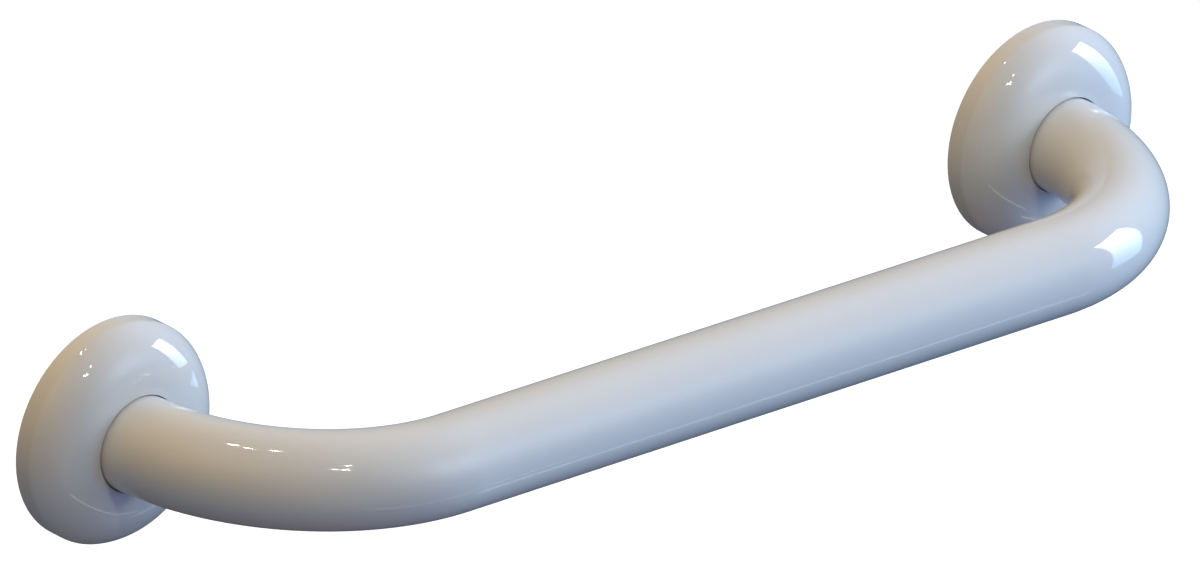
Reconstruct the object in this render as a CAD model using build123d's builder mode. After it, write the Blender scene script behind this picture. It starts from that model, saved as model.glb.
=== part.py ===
from build123d import *
import math
import os

os.makedirs("parts", exist_ok=True)

# A wall-mounted grab bar: one bent steel tube, a steel wall plate welded on each end, and a moulded
# cover pushed over each plate. All sizes are millimetres. The bar runs along X, the wall is the plane
# Y = 0, the bar stands out of it towards -Y, and +Z is up. The origin is on the wall, midway between
# the two ends.

# The tube
fixing_centres = 400.0
tube_diameter = 32.0
tube_wall = 1.5
leg_straight = 13.3
bend_radius = 71.0
tube_end_gap = 0.5

# The wall plates
plate_thickness = 3.0
plate_bevel = 1.0
weld_leg = 2.5
screw_count = 3
screw_hole_diameter = 6.5
screw_head_diameter = 11.0
head_room = 1.0
plate_edge_margin = 3.75

# The covers: a straight rim, a tight shoulder, one wide arc over the crest, then a shallow dish that
# slopes down to the hole. The bend starts just inside the cover, where the tube already leans a
# little, so the hole is wider than the tube by more than a running fit.
cover_wall = 2.2
cover_rim_height = 5.6
cover_shoulder_radius = 4.0
cover_shoulder_turn = 24.0
cover_dish_slope = 8.0
cover_dish_width = 2.5
cover_lip_round = 0.4
cover_skirt_depth = 6.0
cover_wall_gap = 0.3
cover_hole_clearance = 0.3
underside_rings = 3

# What holds a cover on its plate
rib_thickness = 1.6
rib_weld_room = 1.0
lug_count = 6
lug_width = 7.0
lug_reach = 2.9
lug_clearance = 0.1
lug_lead_in = 1.2

# Worked out from the sizes above
leg_x = fixing_centres / 2
tube_radius = tube_diameter / 2
axis_to_wall = leg_straight + bend_radius
screw_circle_radius = tube_radius + weld_leg + head_room + screw_head_diameter / 2
plate_radius = screw_circle_radius + screw_hole_diameter / 2 + plate_edge_margin
cover_radius = plate_radius + lug_reach + cover_wall
cavity_radius = cover_radius - cover_wall

cover_hole_radius = tube_radius + cover_hole_clearance

# The dome's arc fills the room that the shoulder and the dish leave between the rim and the hole.
shoulder_end = math.radians(cover_shoulder_turn)
dish_slope = math.radians(cover_dish_slope)
shoulder_run = cover_shoulder_radius * (1 - math.cos(shoulder_end))
dish_start = cover_hole_radius + cover_dish_width
dome_run = cover_radius - shoulder_run - dish_start
cover_dome_radius = dome_run / (math.cos(shoulder_end) + math.sin(dish_slope))
cover_crest_radius = dish_start + cover_dome_radius * math.sin(dish_slope)
cover_crest_height = (
    cover_rim_height
    + cover_shoulder_radius * math.sin(shoulder_end)
    + cover_dome_radius * (1 - math.sin(shoulder_end))
)
cover_lip_height = (
    cover_crest_height
    - cover_dome_radius * (1 - math.cos(dish_slope))
    - cover_dish_width * math.tan(dish_slope)
)
skirt_bottom = cover_lip_height - cover_skirt_depth
skirt_outer_radius = cover_hole_radius + cover_wall
rib_count = screw_count
rib_inner_radius = tube_radius + weld_leg + rib_weld_room
lug_face_radius = plate_radius + lug_clearance
lug_top = plate_thickness + lug_lead_in


def leg_axis(x):
    """The line out of the wall through the middle of one leg."""
    return Axis((x, 0, 0), (0, -1, 0))


def radial_plane(x, outward, angle=0.0):
    """A half-section of one leg: its x runs away from the leg's axis, its y away from the wall.

    At angle 0 it points along the bar, away from the other leg."""
    turn = math.radians(angle)
    away = Vector(outward * math.cos(turn), 0, math.sin(turn))
    return Plane(origin=(x, 0, 0), x_dir=away, z_dir=away.cross(Vector(0, -1, 0)))


def wall_plane(x, outward, height):
    """The plane parallel to the wall at a height above it, seen from the room."""
    return Plane(origin=(x, -height, 0), x_dir=(outward, 0, 0), z_dir=(0, -1, 0))


# The bar: two short legs, two quarter bends and the straight grip, bent from one tube
with BuildPart() as bar_tube:
    with BuildLine() as route:
        left_leg = Line((-leg_x, -tube_end_gap, 0), (-leg_x, -leg_straight, 0))
        left_bend = JernArc(left_leg @ 1, left_leg % 1, bend_radius, 90)
        grip = Line(left_bend @ 1, (leg_x - bend_radius, -axis_to_wall, 0))
        right_bend = JernArc(grip @ 1, grip % 1, bend_radius, 90)
        right_leg = Line(right_bend @ 1, (leg_x, -tube_end_gap, 0))
    with BuildSketch(Plane(origin=left_leg @ 0, z_dir=left_leg % 0)):
        Circle(tube_radius)
        Circle(tube_radius - tube_wall, mode=Mode.SUBTRACT)
    sweep(path=route.line)
bar_tube.part.label = "bar_tube"
export_step(bar_tube.part, "parts/bar_tube.step")


def wall_plate(label, x, outward):
    """A round steel plate with a bevelled back edge, its screw holes and the weld round the tube."""
    with BuildPart() as plate:
        with BuildSketch(radial_plane(x, outward)):
            with BuildLine():
                Polyline(
                    (tube_radius, 0),
                    (plate_radius - plate_bevel, 0),
                    (plate_radius, plate_bevel),
                    (plate_radius, plate_thickness),
                    (tube_radius + weld_leg, plate_thickness),
                    (tube_radius, plate_thickness + weld_leg),
                    close=True,
                )
            make_face()
        revolve(axis=leg_axis(x))
        with BuildSketch(wall_plane(x, outward, 0)):
            with PolarLocations(screw_circle_radius, screw_count):
                Circle(screw_hole_diameter / 2)
        extrude(amount=plate_thickness, mode=Mode.SUBTRACT)
    plate.part.label = label
    export_step(plate.part, f"parts/{label}.step")


def cover_outline():
    """The edges of a cover's half-section, filled in from its hole to its outside."""
    with BuildLine() as outline:
        rim = Line((cover_radius, cover_wall_gap), (cover_radius, cover_rim_height))
        shoulder = JernArc(rim @ 1, rim % 1, cover_shoulder_radius, cover_shoulder_turn)
        dome_turn = 90 - cover_shoulder_turn + cover_dish_slope
        dome = JernArc(shoulder @ 1, shoulder % 1, cover_dome_radius, dome_turn)
        Polyline(
            dome @ 1,
            (cover_hole_radius, cover_lip_height),
            (cover_hole_radius, cover_wall_gap),
            rim @ 0,
        )
    return outline.edges()


def under_dome(turn):
    """A point on the dome's underside, where the outside has turned inwards by so many degrees."""
    inner_radius = cover_dome_radius - cover_wall
    along = inner_radius * math.cos(math.radians(turn))
    up = inner_radius * math.sin(math.radians(turn))
    return (cover_crest_radius + along, cover_crest_height - cover_dome_radius + up)


def cavity_outline():
    """The edges of the hollow under a cover: flat-sided rings under the dome, open towards the wall."""
    inner_step = (90 - cover_shoulder_turn) / underside_rings
    with BuildLine() as outline:
        Polyline(
            (0, 0),
            (cavity_radius, 0),
            (cavity_radius, cover_rim_height),
            *[under_dome(cover_shoulder_turn + ring * inner_step) for ring in range(underside_rings + 1)],
            (skirt_outer_radius, cover_lip_height - cover_wall),
            (skirt_outer_radius, skirt_bottom),
            (0, skirt_bottom),
            close=True,
        )
    return outline.edges()


def lug_outline():
    """The edges of a snap lug's section, from inside the rim to its hook under the plate's bevel."""
    rooted = cover_radius - cover_wall / 2
    with BuildLine() as outline:
        Polyline(
            (rooted, cover_wall_gap),
            (lug_face_radius - (plate_bevel - cover_wall_gap), cover_wall_gap),
            (lug_face_radius, plate_bevel),
            (lug_face_radius, lug_top),
            (cavity_radius, lug_top + cavity_radius - lug_face_radius),
            (rooted, lug_top + cavity_radius - lug_face_radius),
            close=True,
        )
    return outline.edges()


def cover(label, x, outward):
    """A thin domed shell with a rounded lip, a skirt round the tube, seat ribs and snap lugs."""
    section = radial_plane(x, outward)
    with BuildPart() as shell:
        with BuildSketch(section) as outside:
            make_face(cover_outline())
            lip = outside.vertices().group_by(Axis.X)[0].sort_by(Axis.Y)[-1]
            fillet(lip, cover_lip_round)
        revolve(axis=leg_axis(x))
        with BuildSketch(section):
            make_face(cavity_outline())
        revolve(axis=leg_axis(x), mode=Mode.SUBTRACT)

        # The ribs stand on the plate between its screws, step over the weld and stiffen the skirt.
        for rib in range(rib_count):
            with BuildSketch(radial_plane(x, outward, (rib + 0.5) * 360 / rib_count)):
                make_face(cover_outline())
                offset(amount=-cover_wall / 2)
                Rectangle(cover_radius, plate_thickness, align=Align.MIN, mode=Mode.SUBTRACT)
                Rectangle(rib_inner_radius, skirt_bottom, align=Align.MIN, mode=Mode.SUBTRACT)
            extrude(amount=rib_thickness / 2, both=True)

        for lug in range(lug_count):
            with BuildSketch(radial_plane(x, outward, (lug + 0.5) * 360 / lug_count)):
                make_face(lug_outline())
            extrude(amount=lug_width / 2, both=True)
    shell.part.label = label
    export_step(shell.part, f"parts/{label}.step")


for side, outward in (("left", -1), ("right", 1)):
    wall_plate(f"{side}_wall_plate", outward * leg_x, outward)
    cover(f"{side}_cover", outward * leg_x, outward)
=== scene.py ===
import math

import bmesh
import bpy
from mathutils import Matrix, Vector


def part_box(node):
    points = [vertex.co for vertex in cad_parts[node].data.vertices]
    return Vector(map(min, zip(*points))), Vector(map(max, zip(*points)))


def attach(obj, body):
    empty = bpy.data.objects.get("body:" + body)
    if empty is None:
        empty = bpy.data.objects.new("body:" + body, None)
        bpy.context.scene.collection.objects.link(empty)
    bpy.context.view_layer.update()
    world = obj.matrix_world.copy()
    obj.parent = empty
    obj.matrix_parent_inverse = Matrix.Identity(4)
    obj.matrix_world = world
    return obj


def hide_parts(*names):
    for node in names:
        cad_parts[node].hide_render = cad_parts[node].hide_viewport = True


# A white grab bar: the bent tube and its two moulded covers are built again as smooth meshes round
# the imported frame, and the wall plates keep their own solids. Sizes are metres. The wall is the
# plane y = 0, the bar runs along x and stands out towards -y.
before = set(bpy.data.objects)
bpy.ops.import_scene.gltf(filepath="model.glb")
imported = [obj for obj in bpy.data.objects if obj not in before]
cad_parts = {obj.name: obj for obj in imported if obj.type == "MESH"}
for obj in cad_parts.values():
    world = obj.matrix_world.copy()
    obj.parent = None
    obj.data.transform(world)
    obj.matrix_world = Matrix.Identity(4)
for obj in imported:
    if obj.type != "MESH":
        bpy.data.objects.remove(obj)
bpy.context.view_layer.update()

MM = 0.001
OUT = Vector((0, -1, 0))
UP = Vector((0, 0, 1))
EDGE_STEPS = 4

# The tube: its outside comes from the frame, its wall and its bends are the solid's own sizes.
tube_low, tube_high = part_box("bar_tube")
TUBE_RADIUS = (tube_high.z - tube_low.z) / 2
TUBE_WALL = 1.5 * MM
TUBE_EDGE = 0.25 * MM
BEND_RADIUS = 71 * MM
LEG_START = -tube_high.y
GRIP_OUT = -tube_low.y - TUBE_RADIUS
LEG_STEPS = 6
BEND_STEPS = 72
GRIP_STEPS = 40
TUBE_SIDES = 128

# A cover's half-section, as in the solid: rim, shoulder, dome, dish, rolled lip, skirt and underside.
cover_low, cover_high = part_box("right_cover")
LEG_X = (cover_low.x + cover_high.x) / 2
COVER_RADIUS = (cover_high.z - cover_low.z) / 2
COVER_BACK = -cover_high.y
COVER_WALL = 2.2 * MM
COVER_EDGE = 0.3 * MM
RIM_HEIGHT = 5.6 * MM
SHOULDER_RADIUS = 4 * MM
SHOULDER_TURN = 24
DISH_SLOPE = 8
DISH_WIDTH = 2.5 * MM
LIP_ROUND = 0.4 * MM
HOLE_RADIUS = TUBE_RADIUS + 0.3 * MM
SKIRT_DEPTH = 6 * MM
UNDERSIDE_ROUND = 1.2 * MM
SHOULDER_STEPS = 8
DOME_STEPS = 48
LIP_STEPS = 10
UNDER_DOME_STEPS = 20
UNDER_LIP_STEPS = 5
COVER_SIDES = 192

# What holds a cover on its plate
plate_low, plate_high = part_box("right_wall_plate")
PLATE_RADIUS = (plate_high.z - plate_low.z) / 2
PLATE_THICKNESS = 3 * MM
PLATE_BEVEL = 1 * MM
RIB_COUNT = 3
RIB_THICKNESS = 1.6 * MM
RIB_INNER_RADIUS = TUBE_RADIUS + 3.5 * MM
RIB_STEPS = 12
LUG_COUNT = 6
LUG_WIDTH = 7 * MM
LUG_CLEARANCE = 0.1 * MM
LUG_LEAD_IN = 1.2 * MM

# Worked out as the solid's own are
SHOULDER_SINE = math.sin(math.radians(SHOULDER_TURN))
SHOULDER_COSINE = math.cos(math.radians(SHOULDER_TURN))
DISH_SINE = math.sin(math.radians(DISH_SLOPE))
DISH_COSINE = math.cos(math.radians(DISH_SLOPE))
DISH_START = HOLE_RADIUS + DISH_WIDTH
DOME_RUN = COVER_RADIUS - SHOULDER_RADIUS * (1 - SHOULDER_COSINE) - DISH_START
DOME_RADIUS = DOME_RUN / (SHOULDER_COSINE + DISH_SINE)
CREST_RADIUS = DISH_START + DOME_RADIUS * DISH_SINE
DOME_CENTRE = RIM_HEIGHT + (SHOULDER_RADIUS - DOME_RADIUS) * SHOULDER_SINE
LIP_HEIGHT = DOME_CENTRE + DOME_RADIUS * DISH_COSINE - DISH_WIDTH * DISH_SINE / DISH_COSINE
SKIRT_BOTTOM = LIP_HEIGHT - SKIRT_DEPTH
SKIRT_OUTER = HOLE_RADIUS + COVER_WALL
CAVITY_RADIUS = COVER_RADIUS - COVER_WALL
LUG_FACE = PLATE_RADIUS + LUG_CLEARANCE
LUG_TOP = PLATE_THICKNESS + LUG_LEAD_IN

# The finish: how fine the noise is in the mottling and in the skin, and the gloss of both materials
MOTTLE_DETAIL = 3.0
PEEL_DETAIL = 1.0
GLOSS_IOR = 1.5

# The studio: the bar hangs as high over a pale floor as on a bathroom wall. Round it stands a light
# tent, soft cards that the camera doesn't see, with a tall window card, two low strips and a few
# small lamps. A card stands at an azimuth from the room's side towards +x, and at an elevation, both
# in degrees; then come how tight it is, and its colour.
FLOOR_DROP = 0.9
FLOOR_RADIUS = 6.0
FLOOR_SIDES = 96
FLOOR_COLOUR = (0.80, 0.80, 0.79, 1)
FLOOR_LIFT = 0.6
TENT_RADIUS = 3.4
TENT_BOTTOM = 0.86
TENT_SIDES = 48
TENT_ROWS = 32
TENT_CARDS = {
    "front_high": (0, 45, 6, (0.20, 0.35, 0.40)),
    "right_high": (90, 45, 6, (0.55, 0.70, 1.20)),
    "back_high": (180, 45, 6, (0.85, 0.55, 0.15)),
    "left_high": (270, 45, 6, (0.85, 0.55, 0.15)),
    "right_front": (45, 0, 6, (0.00, 0.15, 0.80)),
    "right_back": (135, 0, 6, (0.10, 0.15, 0.20)),
    "back": (180, 0, 6, (0.50, 0.62, 0.75)),
    "left_front": (315, 0, 6, (0.15, 0.00, 0.00)),
    "right_low": (90, -40, 6, (0.00, 0.05, 0.10)),
    "left_low": (270, -40, 6, (0.05, 0.25, 0.45)),
    "under": (0, -90, 6, (0.25, 0.10, 0.00)),
    "pale_front": (25, 20, 24, (1.50, 2.00, 2.45)),
    "floor_right": (50, -40, 24, (0.25, 0.40, 0.60)),
    "floor_left": (-25, -20, 24, (0.20, 0.35, 0.25)),
}
WINDOW_AZIMUTHS = (57, 77)
WINDOW_ELEVATIONS = (-14.5, 27.5)
WINDOW_DISTANCE = 3.0
WINDOW_LOW = (1.0, 2.2, 3.5)
WINDOW_HIGH = (14.0, 15.0, 14.0)
WINDOW_FADE = 1.5
STRIP_HEIGHT = -0.80
STRIP_LIGHT = (1.9, 2.1, 2.3)
STRIPS = {
    "far_strip": (-0.30, 0.82, 0.84, 0.88),
    "near_strip": (0.55, 1.00, 0.56, 0.62),
}
LAMP_DISTANCE = 3.3
LAMP_COLOUR = (1.0, 0.93, 0.80)
LAMPS = {
    "lamp_front": (-22, 45.5, 0.08, 30),
    "lamp_beside": (-27, 46.5, 0.05, 12),
    "lamp_above": (-18, 54, 0.05, 12),
    "lamp_ceiling": (-110, 76.5, 0.06, 16),
    "lamp_ceiling_left": (-129, 75, 0.06, 16),
    "lamp_ceiling_right": (-92, 82, 0.06, 16),
}

# The photograph's view, fitted to the object's outline: a very long lens from the left and above
LENS = 790.0
SENSOR = 36.0
VIEW_DISTANCE = 8.348
VIEW_DEPTH = 4 * VIEW_DISTANCE
VIEW_AZIMUTH = -44.21
VIEW_ELEVATION = 23.94
VIEW_ROLL = 3.69
VIEW_RIGHT = 8.20 * MM
VIEW_UP = -2.02 * MM


def arc(centre, radius, start, end, steps, hollow=False):
    """An arc of a section between two angles in degrees: its points, each with its outward normal."""
    points = []
    for step in range(steps + 1):
        turn = math.radians(start + (end - start) * step / steps)
        away = Vector((math.cos(turn), math.sin(turn)))
        points.append((Vector(centre) + radius * away, -away if hollow else away))
    return points


def skin(rings, sides):
    """A closed surface through rings, the last joined to the first: vertices, faces, corner normals.

    A ring is its centre, its axis, its radius, and its normal's shares outwards and along the axis."""
    vertices, normals, faces = [], [], []
    for centre, axis, radius, outwards, along in rings:
        side = axis.cross(UP)
        for step in range(sides):
            turn = 2 * math.pi * step / sides
            away = side * math.cos(turn) + UP * math.sin(turn)
            vertices.append(centre + away * radius)
            normals.append(away * outwards + axis * along)
    for ring in range(len(rings)):
        here, there = ring * sides, (ring + 1) % len(rings) * sides
        for step in range(sides):
            beside = (step + 1) % sides
            faces.append((here + step, there + step, there + beside, here + beside))
    return vertices, faces, [[normals[corner] for corner in face] for face in faces]


def prism(x, outward, angle, outline, thickness):
    """A flat piece standing in a cover, at an angle round its leg: vertices, faces, corner normals."""
    turn = math.radians(angle)
    away = Vector((outward * math.cos(turn), 0, math.sin(turn)))
    across = away.cross(OUT)
    count = len(outline)
    vertices = [
        Vector((x, 0, 0)) + away * radius + OUT * height + across * (thickness * half)
        for half in (-0.5, 0.5)
        for radius, height in outline
    ]
    faces = [tuple(range(count)), tuple(reversed(range(count, 2 * count)))]
    for here in range(count):
        there = (here + 1) % count
        faces.append((there, here, here + count, there + count))
    normals = []
    for face in faces:
        first, second, third = (vertices[corner] for corner in face[:3])
        normals.append([(second - first).cross(third - second).normalized()] * len(face))
    return vertices, faces, normals


def made(name, *shapes):
    """One mesh object from shapes, each its vertices, faces and corner normals."""
    vertices, faces, normals = [], [], []
    for shape_vertices, shape_faces, shape_normals in shapes:
        first = len(vertices)
        vertices += shape_vertices
        faces += [tuple(first + corner for corner in face) for face in shape_faces]
        normals += [normal for face in shape_normals for normal in face]
    mesh = bpy.data.meshes.new(name)
    mesh.from_pydata(vertices, [], faces)
    mesh.polygons.foreach_set("use_smooth", [True] * len(faces))
    mesh.update()
    mesh.normals_split_custom_set(normals)
    return linked(name, mesh)


def linked(name, data):
    """A new object with this mesh, lamp or camera, in the scene."""
    piece = bpy.data.objects.new(name, data)
    bpy.context.scene.collection.objects.link(piece)
    return piece


def tube_route():
    """The middle of the tube from the left end to the right: its points, each with its direction."""
    bend_out = GRIP_OUT - BEND_RADIUS
    reach = LEG_X - BEND_RADIUS
    half = []
    for step in range(LEG_STEPS):
        out = LEG_START + (bend_out - LEG_START) * step / LEG_STEPS
        half.append((Vector((LEG_X, -out, 0)), OUT))
    for step in range(BEND_STEPS + 1):
        turn = math.pi / 2 * step / BEND_STEPS
        away = Vector((math.cos(turn), -math.sin(turn), 0))
        half.append((Vector((reach, -bend_out, 0)) + away * BEND_RADIUS, away.cross(UP)))
    left = [(Vector((-point.x, point.y, 0)), Vector((-along.x, along.y, 0))) for point, along in half]
    grip = [
        (Vector((reach * (2 * step / GRIP_STEPS - 1), -GRIP_OUT, 0)), Vector((1, 0, 0)))
        for step in range(1, GRIP_STEPS)
    ]
    return left + grip + [(point, -along) for point, along in reversed(half)]


def tube_end(end, way, radius, start, stop):
    """The rings of one broken edge at a tube's end."""
    centre, along = end
    return [
        (centre + along * (way * point.y), along, point.x, normal.x, way * normal.y)
        for point, normal in arc((radius, TUBE_EDGE), TUBE_EDGE, start, stop, EDGE_STEPS)
    ]


def tube():
    """The bent tube, hollow, with two open ends."""
    route = tube_route()
    bore = TUBE_RADIUS - TUBE_WALL
    rings = tube_end(route[0], 1, TUBE_RADIUS - TUBE_EDGE, -90, 0)
    rings += [(point, along, TUBE_RADIUS, 1, 0) for point, along in route[1:-1]]
    rings += tube_end(route[-1], -1, TUBE_RADIUS - TUBE_EDGE, 0, -90)
    rings += tube_end(route[-1], -1, bore + TUBE_EDGE, -90, -180)
    rings += [(point, along, bore, -1, 0) for point, along in reversed(route[1:-1])]
    rings += tube_end(route[0], 1, bore + TUBE_EDGE, -180, -90)
    return made("grab_tube", skin(rings, TUBE_SIDES))


def cover_section():
    """A cover's half-section as a closed line: distance from the leg's axis, and from the wall."""
    lip_height = LIP_HEIGHT - LIP_ROUND * (1 - DISH_SINE) / DISH_COSINE
    shoulder = (COVER_RADIUS - SHOULDER_RADIUS, RIM_HEIGHT)
    dome = (CREST_RADIUS, DOME_CENTRE)
    skirt = SKIRT_BOTTOM + COVER_EDGE
    under = (SKIRT_OUTER + UNDERSIDE_ROUND, LIP_HEIGHT - COVER_WALL - UNDERSIDE_ROUND)
    return [
        *arc((COVER_RADIUS - COVER_EDGE, COVER_BACK + COVER_EDGE), COVER_EDGE, -90, 0, EDGE_STEPS),
        *arc(shoulder, SHOULDER_RADIUS, 0, SHOULDER_TURN, SHOULDER_STEPS),
        *arc(dome, DOME_RADIUS, SHOULDER_TURN, 90 + DISH_SLOPE, DOME_STEPS)[1:],
        *arc((HOLE_RADIUS + LIP_ROUND, lip_height), LIP_ROUND, 90 + DISH_SLOPE, 180, LIP_STEPS),
        *arc((HOLE_RADIUS + COVER_EDGE, skirt), COVER_EDGE, 180, 270, EDGE_STEPS),
        *arc((SKIRT_OUTER - COVER_EDGE, skirt), COVER_EDGE, 270, 360, EDGE_STEPS),
        *arc(under, UNDERSIDE_ROUND, 180, 90, UNDER_LIP_STEPS, hollow=True),
        *arc(dome, DOME_RADIUS - COVER_WALL, 90, SHOULDER_TURN, UNDER_DOME_STEPS, hollow=True),
        *arc(shoulder, SHOULDER_RADIUS - COVER_WALL, SHOULDER_TURN, 0, EDGE_STEPS, hollow=True)[1:],
        *arc((CAVITY_RADIUS + COVER_EDGE, COVER_BACK + COVER_EDGE), COVER_EDGE, 180, 270, EDGE_STEPS),
    ]


def rib_outline():
    """A seat rib: it stands on the plate, steps over the weld and is rooted in dome and skirt."""
    rooted = COVER_WALL / 2
    dome = arc((CREST_RADIUS, DOME_CENTRE), DOME_RADIUS - rooted, SHOULDER_TURN, 90, RIB_STEPS)
    return [
        (RIB_INNER_RADIUS, PLATE_THICKNESS),
        (COVER_RADIUS - rooted, PLATE_THICKNESS),
        (COVER_RADIUS - rooted, RIM_HEIGHT),
        *[tuple(point) for point, normal in dome],
        (SKIRT_OUTER - rooted, LIP_HEIGHT - rooted),
        (SKIRT_OUTER - rooted, SKIRT_BOTTOM + COVER_EDGE),
        (RIB_INNER_RADIUS, SKIRT_BOTTOM + COVER_EDGE),
    ]


def lug_outline():
    """A snap lug: rooted in the rim, its face along the plate's edge, its hook under the bevel."""
    rooted = COVER_RADIUS - COVER_WALL / 2
    return [
        (LUG_FACE - (PLATE_BEVEL - COVER_BACK), COVER_BACK),
        (rooted, COVER_BACK),
        (rooted, LUG_TOP + CAVITY_RADIUS - LUG_FACE),
        (CAVITY_RADIUS, LUG_TOP + CAVITY_RADIUS - LUG_FACE),
        (LUG_FACE, LUG_TOP),
        (LUG_FACE, PLATE_BEVEL),
    ]


def cover(side, outward):
    """One moulded cover: a thin shell with a rolled lip, seat ribs and snap lugs."""
    x = outward * LEG_X
    rings = [
        (Vector((x, 0, 0)) + OUT * point.y, OUT, point.x, normal.x, normal.y)
        for point, normal in cover_section()
    ]
    shapes = [skin(rings, COVER_SIDES)]
    for rib in range(RIB_COUNT):
        shapes.append(prism(x, outward, (rib + 0.5) * 360 / RIB_COUNT, rib_outline(), RIB_THICKNESS))
    for lug in range(LUG_COUNT):
        shapes.append(prism(x, outward, (lug + 0.5) * 360 / LUG_COUNT, lug_outline(), LUG_WIDTH))
    return made(f"{side}_cover_shell", *shapes)


def shader(name):
    """A new material with an empty node tree."""
    material = bpy.data.materials.new(name)
    material.use_nodes = True
    material.node_tree.nodes.clear()
    return material


def add(tree, kind, inputs=None, **settings):
    """A node with its settings, and with its inputs set to values or linked to other nodes."""
    node = tree.nodes.new("ShaderNode" + kind)
    for key, value in settings.items():
        setattr(node, key, value)
    for key, value in (inputs or {}).items():
        if isinstance(value, bpy.types.NodeSocket):
            tree.links.new(value, node.inputs[key])
        else:
            node.inputs[key].default_value = value
    return node


def between(tree, share, low, high):
    """A colour between two, which may be brighter than white."""
    step = [far - near for near, far in zip(low, high)]
    scaled = add(tree, "VectorMath", {0: step, "Scale": share}, operation="SCALE")
    return add(tree, "VectorMath", {0: scaled.outputs[0], 1: low}, operation="ADD").outputs[0]


def gloss_white(name, colour_low, colour_high, mottle, roughness, peel, peel_depth):
    """A glossy white: faint mottling, a roughness that wanders a little, and a fine wavy skin.

    Mottle and peel are sizes in metres, and peel_depth is how deep the skin's waves are."""
    material = shader(name)
    tree = material.node_tree
    place = add(tree, "TexCoord").outputs["Object"]
    smooth, rough = roughness
    cloud = add(tree, "TexNoise", {"Vector": place, "Scale": 1 / mottle, "Detail": MOTTLE_DETAIL})
    waves = add(tree, "TexNoise", {"Vector": place, "Scale": 1 / peel, "Detail": PEEL_DETAIL})
    share = cloud.outputs["Fac"]
    wander = add(tree, "MapRange", {"Value": share, "To Min": smooth, "To Max": rough})
    bump = add(tree, "Bump", {"Height": waves.outputs["Fac"], "Distance": peel_depth})
    surface = add(tree, "BsdfPrincipled", {
        "Base Color": between(tree, share, colour_low, colour_high),
        "Roughness": wander.outputs["Result"],
        "IOR": GLOSS_IOR,
        "Normal": bump.outputs["Normal"],
    })
    add(tree, "OutputMaterial", {"Surface": surface.outputs["BSDF"]})
    return material


def light_tent():
    """A dome round the bar, flat below, whose light comes from cards that fade into each other."""
    material = shader("light_tent")
    tree = material.node_tree
    place = add(tree, "NewGeometry").outputs
    away = add(tree, "VectorMath", {0: place["Position"]}, operation="NORMALIZE").outputs[0]
    light = (0, 0, 0)
    for azimuth, elevation, focus, colour in TENT_CARDS.values():
        middle = towards(azimuth, elevation, 1)
        facing = add(tree, "VectorMath", {0: away, 1: middle}, operation="DOT_PRODUCT").outputs["Value"]
        facing = add(tree, "Math", {0: facing, 1: 0.0}, operation="MAXIMUM").outputs[0]
        facing = add(tree, "Math", {0: facing, 1: focus}, operation="POWER").outputs[0]
        share = add(tree, "VectorMath", {0: colour, "Scale": facing}, operation="SCALE").outputs[0]
        light = add(tree, "VectorMath", {0: light, 1: share}, operation="ADD").outputs[0]
    glow = add(tree, "Emission", {"Color": light}).outputs[0]
    clear = add(tree, "BsdfTransparent").outputs[0]
    one_sided = add(tree, "MixShader", {0: place["Backfacing"], 1: glow, 2: clear}).outputs[0]
    add(tree, "OutputMaterial", {"Surface": one_sided})
    material.cycles.emission_sampling = "NONE"

    dome = bmesh.new()
    bmesh.ops.create_uvsphere(dome, u_segments=TENT_SIDES, v_segments=TENT_ROWS, radius=TENT_RADIUS)
    for corner in dome.verts:
        corner.co.z = max(corner.co.z, -TENT_BOTTOM)
    bmesh.ops.reverse_faces(dome, faces=dome.faces)
    mesh = bpy.data.meshes.new("light_tent")
    dome.to_mesh(mesh)
    dome.free()
    mesh.materials.append(material)
    unseen(linked("light_tent", mesh))


def unseen(card):
    """Marks a card of the studio, which the camera doesn't see and which casts no shadow."""
    card.visible_camera = False
    card.visible_shadow = False


def towards(azimuth, elevation, distance):
    """A place seen from the bar at an azimuth from the room's side and at an elevation, in degrees."""
    turn, rise = math.radians(azimuth), math.radians(elevation)
    flat = math.cos(rise)
    return Vector((math.sin(turn) * flat, -math.cos(turn) * flat, math.sin(rise))) * distance


def window_card():
    """A tall upright card of daylight, bluish low down and white at the top."""
    low, high = (WINDOW_DISTANCE * math.tan(math.radians(angle)) for angle in WINDOW_ELEVATIONS)
    corners = []
    for azimuth, height in zip(WINDOW_AZIMUTHS + WINDOW_AZIMUTHS[::-1], (low, low, high, high)):
        corners.append(towards(azimuth, 0, WINDOW_DISTANCE) + UP * height)
    material = shader("window_light")
    tree = material.node_tree
    place = add(tree, "NewGeometry").outputs["Position"]
    height = add(tree, "SeparateXYZ", {0: place}).outputs["Z"]
    rise = add(tree, "MapRange", {"Value": height, "From Min": low, "From Max": high}).outputs[0]
    rise = add(tree, "Math", {0: rise, 1: WINDOW_FADE}, operation="POWER").outputs[0]
    glow = add(tree, "Emission", {"Color": between(tree, rise, WINDOW_LOW, WINDOW_HIGH)}).outputs[0]
    add(tree, "OutputMaterial", {"Surface": glow})
    mesh = bpy.data.meshes.new("window_card")
    mesh.from_pydata(corners, [], [(0, 1, 2, 3)])
    mesh.materials.append(material)
    unseen(linked("window_card", mesh))


def floor_strips():
    """Two low strips of light in front of the bar, which draw thin lines along it and in the covers.

    A strip has its left and right ends, and how far its two sides are out from the wall."""
    material = shader("strip_light")
    glow = add(material.node_tree, "Emission", {"Color": (*STRIP_LIGHT, 1)}).outputs[0]
    add(material.node_tree, "OutputMaterial", {"Surface": glow})
    for name, (left, right, near, far) in STRIPS.items():
        corners = [(left, -near), (right, -near), (right, -far), (left, -far)]
        mesh = bpy.data.meshes.new(name)
        mesh.from_pydata([(*corner, STRIP_HEIGHT) for corner in corners], [], [(0, 1, 2, 3)])
        mesh.materials.append(material)
        unseen(linked(name, mesh))


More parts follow.
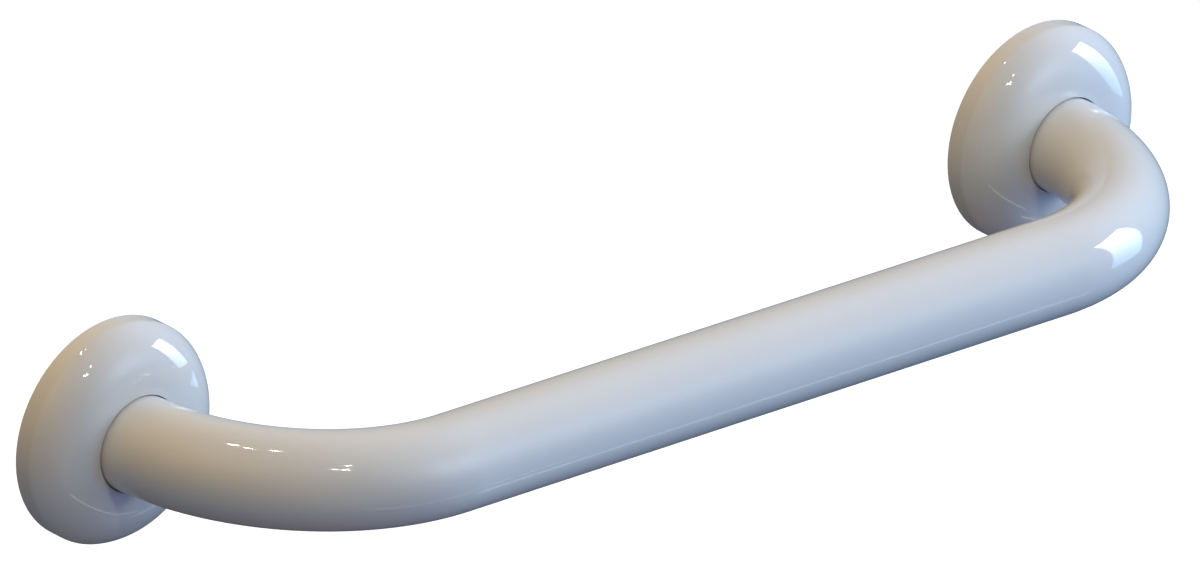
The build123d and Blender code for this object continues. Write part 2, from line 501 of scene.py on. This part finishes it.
def lamps():
    """Small warm lamps, each at an azimuth and an elevation, with its radius and its power in watts."""
    for name, (azimuth, elevation, radius, power) in LAMPS.items():
        lamp = bpy.data.lights.new(name, "POINT")
        lamp.energy = power
        lamp.color = LAMP_COLOUR
        lamp.shadow_soft_size = radius
        linked(name, lamp).location = towards(azimuth, elevation, LAMP_DISTANCE)


def seen_as_background(tree):
    """1 for what the camera sees directly, in a gloss or through glass, and 0 for other light."""
    rays = add(tree, "LightPath").outputs
    seen = add(tree, "Math", {0: rays["Is Camera Ray"], 1: rays["Is Glossy Ray"]}, operation="MAXIMUM")
    seen = add(tree, "Math", {0: seen.outputs[0], 1: rays["Is Transmission Ray"]}, operation="MAXIMUM")
    return seen.outputs[0]


def pale_floor():
    """A pale floor, lifted to white where it is seen, which keeps the bar's shadow."""
    material = shader("pale_floor")
    tree = material.node_tree
    matt = add(tree, "BsdfDiffuse", {"Color": FLOOR_COLOUR}).outputs[0]
    seen = seen_as_background(tree)
    lift = add(tree, "Math", {0: seen, 1: FLOOR_LIFT}, operation="MULTIPLY").outputs[0]
    glow = add(tree, "Emission", {"Color": (1, 1, 1, 1), "Strength": lift}).outputs[0]
    surface = add(tree, "AddShader", {0: matt, 1: glow}).outputs[0]
    add(tree, "OutputMaterial", {"Surface": surface})
    disc = bmesh.new()
    bmesh.ops.create_circle(disc, cap_ends=True, segments=FLOOR_SIDES, radius=FLOOR_RADIUS)
    mesh = bpy.data.meshes.new("pale_floor")
    disc.to_mesh(mesh)
    disc.free()
    mesh.materials.append(material)
    floor = linked("pale_floor", mesh)
    floor.location.z = -FLOOR_DROP


def white_backdrop():
    """White all round, at a strength of 1 where it is seen."""
    world = bpy.data.worlds.new("white_backdrop")
    world.use_nodes = True
    tree = world.node_tree
    tree.nodes.clear()
    seen = seen_as_background(tree)
    glow = add(tree, "Background", {"Color": (1, 1, 1, 1), "Strength": seen}).outputs[0]
    add(tree, "OutputWorld", {"Surface": glow})
    bpy.context.scene.world = world


def photograph_camera():
    """The camera, aimed beside the origin by a shift along the picture's own right and up."""
    back = towards(VIEW_AZIMUTH, VIEW_ELEVATION, 1)
    level = towards(VIEW_AZIMUTH + 90, 0, 1)
    upright = back.cross(level)
    roll = math.radians(VIEW_ROLL)
    right = level * math.cos(roll) + upright * math.sin(roll)
    up = upright * math.cos(roll) - level * math.sin(roll)
    place = right * VIEW_RIGHT + up * VIEW_UP + back * VIEW_DISTANCE
    data = bpy.data.cameras.new("photograph_view")
    data.lens = LENS
    data.sensor_width = SENSOR
    data.clip_end = VIEW_DEPTH
    camera = linked("photograph_view", data)
    camera.matrix_world = Matrix.Translation(place) @ Matrix((right, up, back)).transposed().to_4x4()
    bpy.context.scene.camera = camera


coated_steel = gloss_white(
    "white_coated_steel",
    colour_low=(0.735, 0.735, 0.730),
    colour_high=(0.765, 0.765, 0.760),
    mottle=30 * MM,
    roughness=(0.04, 0.07),
    peel=1.6 * MM,
    peel_depth=0.004 * MM,
)
moulded_plastic = gloss_white(
    "white_moulded_plastic",
    colour_low=(0.740, 0.740, 0.735),
    colour_high=(0.765, 0.765, 0.760),
    mottle=18 * MM,
    roughness=(0.04, 0.06),
    peel=6 * MM,
    peel_depth=0.008 * MM,
)

bar = tube()
bar.data.materials.append(coated_steel)
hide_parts("bar_tube")
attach(bar, "root")
for side, outward in (("left", -1), ("right", 1)):
    shell = cover(side, outward)
    shell.data.materials.append(moulded_plastic)
    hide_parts(f"{side}_cover")
    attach(shell, "root")
    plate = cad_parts[f"{side}_wall_plate"]
    plate.data.materials.clear()
    plate.data.materials.append(coated_steel)

light_tent()
window_card()
floor_strips()
lamps()
pale_floor()
white_backdrop()
photograph_camera()
bpy.context.scene.view_settings.view_transform = "Standard"
